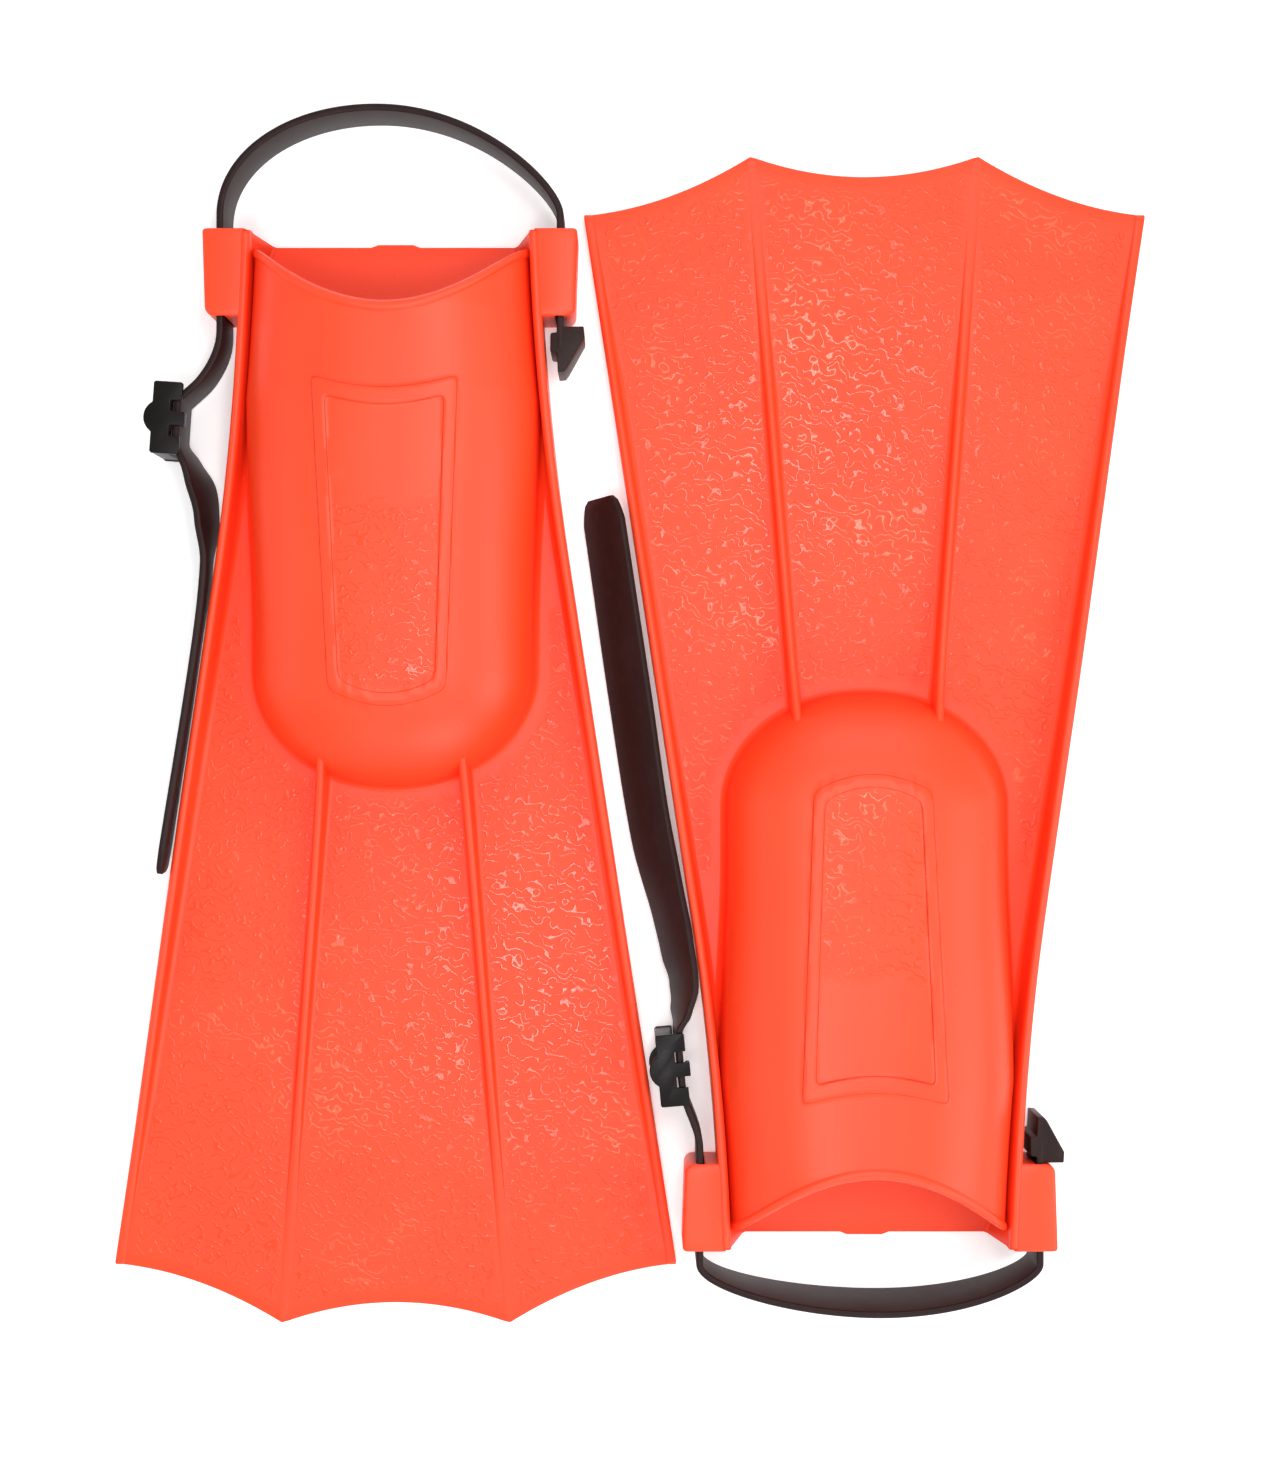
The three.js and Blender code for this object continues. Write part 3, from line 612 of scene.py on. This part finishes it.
def strap_knots(strap):
    """From the arrow stop round the heel, through the outer lug and the buckle, to the tail."""
    level = dict(z=STRAP_Z, lean=0)
    loop, buckle = strap["loop"], strap["buckle"]
    a, b, c, d = loop["pulls"]
    apex = dict(u=loop["apex"], y=-loop["depth"], heading=90, before=b, after=c,
                z=STRAP_Z, lean=loop["lean"])
    held = [dict(u=u, y=y, heading=buckle["heading"], **level)
            for u, y in buckle_place(strap, [(0, -HELD), (0, HELD)])]
    return [dict(u=-STRAP_U, y=strap["stop"] + IN_ARROW, heading=180, **level),
            dict(u=-STRAP_U, y=-TRAVEL, heading=180, after=a, **level),
            apex,
            dict(u=STRAP_U, y=-TRAVEL, heading=0, before=d, **level),
            dict(u=STRAP_U, y=LUG_LENGTH + TRAVEL, heading=0, **level),
            *(dict(knot, **level) for knot in strap["lead"]),
            *held,
            *strap["tail"]]


def way(knot):
    heading = math.radians(knot["heading"])
    return np.array([math.sin(heading), math.cos(heading), 0])


def strap_rings(knots):
    middles, leans, headings = [], [], []
    for start, end in zip(knots, knots[1:]):
        a, b = (np.array([k["u"], k["y"], k["z"]], float) for k in (start, end))
        chord = np.linalg.norm(b - a)
        c = a + way(start) * start.get("after", chord / 3)
        d = b - way(end) * end.get("before", chord / 3)
        t = np.linspace(0, 1, max(6, round(chord * 1.1 / RING_STEP)))[:, None]
        curve = a * (1 - t) ** 3 + 3 * c * t * (1 - t) ** 2 + 3 * d * t**2 * (1 - t) + b * t**3
        slope = 3 * ((c - a) * (1 - t) ** 2 + 2 * (d - c) * t * (1 - t) + (b - d) * t**2)
        skip = 1 if middles else 0
        middles.append(curve[skip:])
        headings.append(slope[skip:])
        leans.append((start["lean"] + (end["lean"] - start["lean"]) * ease(t[:, 0], 0, 1))[skip:])
    middle, along = np.concatenate(middles), np.concatenate(headings)
    along[:, 2] = 0
    along /= np.linalg.norm(along, axis=1, keepdims=True)
    tilt = np.radians(np.concatenate(leans))[:, None]
    flat = np.stack([along[:, 1], -along[:, 0], np.zeros(len(along))], axis=1)
    up = np.array([0, 0, 1.0])
    through = flat * np.cos(tilt) + up * np.sin(tilt)
    wide = up * np.cos(tilt) - flat * np.sin(tilt)
    return middle, through, wide


def build_strap(fin, strap):
    middle, through, wide = strap_rings(strap_knots(strap))
    from_end = np.linalg.norm(middle - middle[-1], axis=1)
    tongue = np.where(from_end < TONGUE, 0.6 + 0.4 * np.sqrt(from_end / TONGUE), 1.0)
    thin = np.where(from_end < 0.8, 0.75, 1.0)
    half_thick, half_wide = STRAP_THICKNESS / 2, STRAP_WIDTH / 2
    section = rounded_box(-half_thick, half_thick, -half_wide, half_wide, 0.75)
    rings = (middle[:, None] + through[:, None] * (section[None, :, :1] * thin[:, None, None])
             + wide[:, None] * (section[None, :, 1:] * tongue[:, None, None]))
    surface = Surface()
    surface.loft(rings)
    return surface.finish(f"{fin.foot}_rubber_strap", fin)


straps = {fin.foot: build_strap(fin, STRAPS[fin.foot]) for fin in fins}

# %% [markdown]
# ## Arrow stop
# The short end of the strap is moulded into an arrow, so that it can't slip back through its
# lug. The arrow is a flat outline raised over the strap's width, with its edges softened by a
# bevel. That is the plainest way to make a moulded prism, and the buckle is made so too.

# %% Prisms with softened edges
SOFTEN = 0.45  # how far the bevel of a moulded edge reaches


def prism(name, fin, outline, bottom, top):
    work = bmesh.new()
    ring = [work.verts.new(point) for point in fin.place([(u, y, bottom) for u, y in outline])]
    face = work.faces.new(ring)
    lifted = bmesh.ops.extrude_face_region(work, geom=[face])
    for vertex in (g for g in lifted["geom"] if isinstance(g, bmesh.types.BMVert)):
        vertex.co.z = top / 1000
    bmesh.ops.recalc_face_normals(work, faces=work.faces)
    bmesh.ops.bevel(work, geom=list(work.edges), offset=SOFTEN / 1000, segments=3,
                    affect="EDGES", profile=0.5, clamp_overlap=True)
    mesh = bpy.data.meshes.new(name)
    work.to_mesh(mesh)
    work.free()
    mesh.shade_smooth()
    mesh.set_sharp_from_angle(angle=math.radians(40))
    piece = bpy.data.objects.new(name, mesh)
    bpy.context.scene.collection.objects.link(piece)
    return piece


def join(name, pieces):
    bpy.ops.object.select_all(action="DESELECT")
    for piece in pieces:
        piece.select_set(True)
    bpy.context.view_layer.objects.active = pieces[0]
    bpy.ops.object.join()
    pieces[0].name = pieces[0].data.name = name
    print(name, len(pieces[0].data.polygons), "faces")
    return pieces[0]


ARROW_LOW, ARROW_HIGH = 2.8, 24.6
ARROW = [(-1.3, 0), (8.5, 0), (8.7, 3.9), (7.4, 6.2), (2.6, 14.9), (1.5, 16.3), (-0.9, 16.5),
         (-1.2, 9.6), (-3.5, 9.2), (-3.6, 8.4), (-3.6, 3.0), (-3.2, 2.3), (-1.3, 2.1)]
arrows = {}
for fin in fins:
    stop = STRAPS[fin.foot]["stop"]
    outline = [(-STRAP_U - t, stop + s) for t, s in ARROW]
    arrows[fin.foot] = prism(f"{fin.foot}_arrow_stop_moulding", fin, outline, ARROW_LOW, ARROW_HIGH)
    print(fin.foot, "arrow stop at y", stop)

# %% [markdown]
# ## Buckle
# The buckle is black plastic. Two cheeks stand above and below the strap, with a round boss
# where the roller's pin is held, and a bar at each end joins them. The strap runs between the
# roller and a short hook on the upper cheek's arm. Each cheek is an outline with arcs, raised
# and bevelled, and the roller is a turned drum with fine teeth that grip the rubber.

# %% Buckle frame and roller
PLATE = 2.2  # thickness of a cheek
CHEEK = STRAP_WIDTH / 2 + 0.3  # from the strap's middle to a cheek
BOSS_E, BOSS_RADIUS, FRAME_OUTER, FRAME_HALF = 5, 6.3, 8.3, 13
ARM_HALF, HOOK_END = 2.5, -3.4
TOOTH = 0.22


def cheek_outline(over):
    """The upper cheek also reaches over the strap, with an arm between two notches."""
    shoulder = math.acos((FRAME_OUTER - BOSS_E) / BOSS_RADIUS)
    boss = [(BOSS_E + BOSS_RADIUS * math.cos(a), BOSS_RADIUS * math.sin(a))
            for a in np.linspace(-shoulder, shoulder, 15)]
    short = [(2.2, FRAME_HALF), (1.8, 12.6)]
    long = [(-1.7, FRAME_HALF), (-2.2, 12.5), (-2.2, 6.5), (1.8, 6.5), (1.8, ARM_HALF),
            (HOOK_END, ARM_HALF)]
    half = [(FRAME_OUTER, 12.4), (FRAME_OUTER - 0.6, FRAME_HALF)] + (long if over else short)
    return boss + half + [(e, -v) for e, v in half[::-1]]


def turned(name, fin, spot, profile, teeth):
    surface = Surface()
    turn = np.linspace(0, 2 * np.pi, 72, endpoint=False)
    rings = []
    for radius, z, toothed in profile:
        grip = radius + toothed * TOOTH * np.cos(turn * teeth)
        ring = [spot[0] + grip * np.cos(turn), spot[1] + grip * np.sin(turn), np.full_like(turn, z)]
        rings.append(np.stack(ring, axis=-1))
    surface.loft(np.array(rings))
    return surface.finish(name, fin, angle=50)


def build_buckle(fin, strap):
    name = f"{fin.foot}_buckle_frame_moulding"
    blocks = []
    for k, low, over in (("top", CHEEK, True), ("bottom", -CHEEK - PLATE, False)):
        outline = buckle_place(strap, cheek_outline(over))
        blocks.append(prism(f"{name}_{k}", fin, outline, STRAP_Z + low, STRAP_Z + low + PLATE))
    end_bars = [(2.2, 8.1, v, v + 4.7, -CHEEK - 0.6, CHEEK + 0.6) for v in (-12.7, 8)]
    hook = (HOOK_END, -1.7, -ARM_HALF, ARM_HALF, 8, 13.4)
    for k, (e0, e1, v0, v1, low, high) in enumerate(end_bars + [hook]):
        corners = buckle_place(strap, [(e0, v0), (e1, v0), (e1, v1), (e0, v1)])
        blocks.append(prism(f"{name}_block{k}", fin, corners, STRAP_Z + low, STRAP_Z + high))
    return join(name, blocks)


def build_roller(fin, strap):
    spot = buckle_place(strap, [(BOSS_E, 0)])[0]
    drum, pin = STRAP_WIDTH / 2, CHEEK + PLATE - 0.3
    half = [(0.3, pin, 0), (1.2, pin, 0), (1.75, pin - 0.4, 0), (1.75, drum + 0.05, 0),
            (3.0, drum, 0), (3.2, drum - 0.5, 0), (3.25, drum - 1.2, 0), (3.05, drum - 1.6, 1)]
    upper = [(r, STRAP_Z + z, t) for r, z, t in half]
    profile = upper + [(r, STRAP_Z - z, t) for r, z, t in half[::-1]]
    return turned(f"{fin.foot}_buckle_roller_turned", fin, spot, profile, teeth=18)


buckles = {fin.foot: build_buckle(fin, STRAPS[fin.foot]) for fin in fins}
rollers = {fin.foot: build_roller(fin, STRAPS[fin.foot]) for fin in fins}

# %% [markdown]
# ## Shader tools
# Every finish below is procedural. One small class wraps a socket, so that sums and products
# of values can be written as plain expressions. Each operator adds a Math node. Another
# method adds any node with its settings and sockets.

# %% Sockets as values
class Value:
    def __init__(self, look, socket):
        self.look, self.socket = look, socket

    def math(self, operation, *others, flip=False):
        sides = list(others) + [self] if flip else [self] + list(others)
        return self.look.add("ShaderNodeMath", dict(operation=operation), dict(enumerate(sides)))

    def __add__(self, other):
        return self.math("ADD", other)

    def __radd__(self, other):
        return self.math("ADD", other)

    def __sub__(self, other):
        return self.math("SUBTRACT", other)

    def __rsub__(self, other):
        return self.math("SUBTRACT", other, flip=True)

    def __mul__(self, other):
        return self.math("MULTIPLY", other)

    def __rmul__(self, other):
        return self.math("MULTIPLY", other)

    def clamped(self):
        return self.math("MAXIMUM", 0).math("MINIMUM", 1)

    def step(self, low, high):
        return self.look.add("ShaderNodeMapRange", dict(interpolation_type="SMOOTHSTEP"),
                             {"Value": self, "From Min": low, "From Max": high}, out="Result")


class Look:
    """A material with one Principled shader and the nodes that feed it."""

    def __init__(self, name, **shader):
        self.material = bpy.data.materials.new(name)
        self.material.use_nodes = True
        self.tree = self.material.node_tree
        self.shader = self.tree.nodes["Principled BSDF"]
        for socket, value in shader.items():
            self.shader.inputs[socket.replace("_", " ")].default_value = value
        self.place = self.add("ShaderNodeTexCoord", {}, {}, out="Object")

    def add(self, kind, settings, sockets, out=0):
        node = self.tree.nodes.new(kind)
        for setting, value in settings.items():
            setattr(node, setting, value)
        for key, value in sockets.items():
            if isinstance(value, Value):
                self.tree.links.new(value.socket, node.inputs[key])
            else:
                node.inputs[key].default_value = value
        return Value(self, node.outputs[out])

    def noise(self, scale, detail, roughness=0.5):
        sockets = {"Vector": self.place, "Scale": scale, "Detail": detail, "Roughness": roughness}
        return self.add("ShaderNodeTexNoise", {}, sockets)

    def mix(self, share, first, second):
        return self.add("ShaderNodeMix", dict(data_type="RGBA"), {0: share, 6: first, 7: second}, out=2)

    def bump(self, height, distance, strength, under=None):
        sockets = {"Height": height, "Distance": distance, "Strength": strength}
        if under is not None:
            sockets["Normal"] = under
        return self.add("ShaderNodeBump", {}, sockets)

    def feed(self, **inputs):
        for socket, value in inputs.items():
            self.tree.links.new(value.socket, self.shader.inputs[socket.replace("_", " ")])
        return self.material


# %% [markdown]
# ## Orange moulding
# The moulding is a soft plastic, bright orange and satin, with faint patches, pale rub marks
# and a few dark specks. Its panels carry a crinkled grain of short, bent ridges about a
# millimetre wide. Parallel waves bent by a noise look like that, and a second noise breaks
# them up. In scattered patches the ridges are painted a lighter orange: a painted highlight
# where they would glint. Real ridges would need millions of faces, so this grain is a bump.
# The crisp edges of the instep's border come from a distance that the mesh carries, for the
# same reason.

# %% Orange moulding
def orange_plastic():
    waves_per_metre, bend = 1800, 27  # both in radians
    look = Look("orange_moulding", Specular_IOR_Level=0.38)
    crinkle = look.add("ShaderNodeAttribute", dict(attribute_name="crinkle"), {}, out="Fac")
    border = look.add("ShaderNodeAttribute", dict(attribute_name="border"), {}, out="Fac")
    direction = {0: look.place, 1: (0.35, 0.94, 0)}
    slant = look.add("ShaderNodeVectorMath", dict(operation="DOT_PRODUCT"), direction, out="Value")
    phase = slant * waves_per_metre + look.noise(190, detail=1.0) * bend
    wave = phase.math("SINE")
    broken = look.noise(240, detail=0.0).step(0.28, 0.42)
    ridges = wave.step(0.45, 0.95) * broken * crinkle
    pebble = look.noise(1500, detail=2.0)
    patches = look.noise(14, detail=3.0)
    specks = look.noise(900, detail=0.0).step(0.76, 0.80)
    marks = look.noise(60, detail=6.0, roughness=0.7).step(0.62, 0.8)
    body = look.mix(patches, (0.90, 0.042, 0.008, 1), (0.96, 0.060, 0.013, 1))
    # painted highlight: in scattered patches the ridges are painted a lighter orange, standing in for
    # their glints
    painted_glint_patches = look.noise(22, detail=1.0).step(0.48, 0.66)
    body = look.mix((ridges * painted_glint_patches * 0.45).clamped(), body, (1.0, 0.16, 0.07, 1))
    body = look.mix((marks * 0.08).clamped(), body, (1.0, 0.22, 0.13, 1))
    body = look.mix((specks * 0.2).clamped(), body, (0.45, 0.04, 0.02, 1))
    rough = 0.40 + patches * 0.06 + marks * 0.06 + crinkle * 0.10 - ridges * 0.30
    soft = look.bump(look.noise(28, detail=2.0), 0.0012, 0.2)
    grain = look.bump(pebble, 0.00005, 0.35, under=soft)
    edged = look.bump(border.step(-0.12, 0.18), 0.0004, 1.0, under=grain)
    normal = look.bump(ridges, 0.00014, 0.7, under=edged)
    return look.feed(Base_Color=body, Roughness=rough.clamped(), Normal=normal)


# %% [markdown]
# ## Strap rubber and buckle plastic
# The strap is brown-black rubber with a dull bloom: a faint mottling, rubbed patches and a
# fine grain. The buckle is black plastic with a satin grain and small worn patches.

# %% Rubber and buckle finishes
def strap_rubber():
    look = Look("strap_rubber", Specular_IOR_Level=0.2)
    cloud = look.noise(55, detail=4.0, roughness=0.6)
    bloom = look.noise(220, detail=5.0, roughness=0.7).step(0.45, 0.75)
    rubbed = look.noise(30, detail=6.0, roughness=0.75).step(0.55, 0.8)
    body = look.mix(cloud, (0.010, 0.0030, 0.0026, 1), (0.018, 0.0058, 0.0050, 1))
    body = look.mix((bloom * 0.2).clamped(), body, (0.040, 0.018, 0.016, 1))
    body = look.mix((rubbed * 0.15).clamped(), body, (0.06, 0.035, 0.032, 1))
    rough = 0.44 + cloud * 0.12 + rubbed * 0.1
    grain = look.bump(look.noise(2200, detail=2.0), 0.00005, 0.6)
    normal = look.bump(look.noise(70, detail=3.0), 0.0005, 0.3, under=grain)
    return look.feed(Base_Color=body, Roughness=rough, Normal=normal)


def buckle_plastic():
    look = Look("buckle_plastic", Specular_IOR_Level=0.15)
    cloud = look.noise(90, detail=4.0)
    worn = look.noise(300, detail=5.0, roughness=0.7).step(0.6, 0.8)
    body = look.mix(cloud, (0.004, 0.0030, 0.0030, 1), (0.008, 0.006, 0.006, 1))
    body = look.mix((worn * 0.2).clamped(), body, (0.03, 0.026, 0.025, 1))
    rough = 0.30 + cloud * 0.12 + worn * 0.12
    normal = look.bump(look.noise(1600, detail=2.0), 0.00008, 0.5)
    return look.feed(Base_Color=body, Roughness=rough, Normal=normal)


orange, rubber, black = orange_plastic(), strap_rubber(), buckle_plastic()

# %% [markdown]
# ## Handing the pieces over
# Each piece gets its finish in its slot, and the solids it stands for are hidden. The straps,
# arrow stops, buckles and rollers are each hung on the body they ride on; the moulding is
# hung on none. A moulding spans two bodies, the fin and its blade. The stretch past the toe
# where it would bend between them is worked out below, but nothing uses it.

# %% Give each piece its finish and hide its solids; hang the strap parts on their bodies
BEND_START, BEND_END, WEB_MIDDLE = 199, 233, 5


def dress(piece, material, nodes, body=None):
    piece.data.materials.clear()
    piece.data.materials.append(material)
    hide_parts(*nodes)
    if body:
        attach(piece, body)


for fin in fins:
    foot = fin.foot
    dress(mouldings[foot], orange, [f"{foot}_{name}" for name in MOULDING])
    start, end = fin.place([(0, BEND_START, WEB_MIDDLE), (0, BEND_END, WEB_MIDDLE)])
    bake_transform(mouldings[foot])
    strap_nodes = [f"{foot}_heel_strap", f"{foot}_strap_tail"]
    dress(straps[foot], rubber, strap_nodes, f"{foot}_strap")
    dress(arrows[foot], rubber, [f"{foot}_arrow_stop"], f"{foot}_strap")
    dress(buckles[foot], black, [f"{foot}_buckle_frame"], f"{foot}_buckle")
    dress(rollers[foot], black, [f"{foot}_buckle_roller"], f"{foot}_roller")
    print(foot, "fin dressed")

# %% [markdown]
# ## Floor, light and camera
# The pair lies on a plain pale floor, which glows a little so that the gaps between the fins
# stay light. Four large soft lights stand round it and keep the shadows faint. Two small ones
# beside the camera give the blades their glancing highlights, and the camera looks straight
# down from a little under a metre.

# %% Floor
def build_floor():
    size, level = 15.0, -0.0004
    mesh = bpy.data.meshes.new("floor")
    corners = [(size * x, size * y, level) for x, y in ((-1, -1), (1, -1), (1, 1), (-1, 1))]
    mesh.from_pydata(corners, [], [(0, 1, 2, 3)])
    floor = bpy.data.objects.new("floor", mesh)
    bpy.context.scene.collection.objects.link(floor)
    look = Look("pale_floor", Specular_IOR_Level=0.2, Emission_Strength=0.3)
    cloud = look.noise(3, detail=3.0)
    paint = look.mix(cloud, (0.87, 0.87, 0.87, 1), (0.90, 0.90, 0.90, 1))
    look.feed(Base_Color=paint, Roughness=0.7 + cloud * 0.1)
    mesh.materials.append(look.material)


build_floor()

# %% Lights
def softbox(name, place, size, power, aim=(0, 0, 0)):
    light = bpy.data.lights.new(name, "AREA")
    light.shape, light.energy = "RECTANGLE", power
    light.size, light.size_y = size
    lamp = bpy.data.objects.new(name, light)
    lamp.location = place
    lamp.rotation_euler = (Vector(aim) - Vector(place)).to_track_quat("-Z", "Y").to_euler()
    bpy.context.scene.collection.objects.link(lamp)
    lamp.visible_camera = False


SOFT_LIGHTS = [("right_soft", (1.1, -0.35, 0.9), 10),
               ("left_soft", (-1.6, -0.2, 1.1), 4),
               ("far_soft", (0.2, 1.7, 1.1), 9),
               ("near_soft", (0.3, -1.7, 1.1), 13)]
for name, place, power in SOFT_LIGHTS:
    softbox(name, place, (0.9, 0.9), power)
softbox("right_glint", (0.125, 0.204, 0.87), (0.15, 0.26), 2.2, aim=(0.0625, 0.10, 0))
softbox("left_glint", (-0.068, -0.172, 0.87), (0.14, 0.20), 2.0, aim=(-0.034, -0.088, 0))
world = bpy.data.worlds.new("studio")
world.use_nodes = True
background = world.node_tree.nodes["Background"]
background.inputs["Color"].default_value = (1, 1, 1, 1)
background.inputs["Strength"].default_value = 0.55
bpy.context.scene.world = world
bpy.context.scene.view_settings.view_transform = "Standard"

# %% Camera
CAMERA_HEIGHT = 0.85
FOCAL_LENGTHS = 1.56246  # focal length over the frame's height

camera_data = bpy.data.cameras.new("camera")
camera_data.sensor_width = 36
camera_data.lens = 36 * FOCAL_LENGTHS
camera = bpy.data.objects.new("camera", camera_data)
camera.location = (0.0009, -0.00435, CAMERA_HEIGHT)
bpy.context.scene.collection.objects.link(camera)
bpy.context.scene.camera = camera
print("camera", tuple(camera.location), "lens", camera_data.lens)
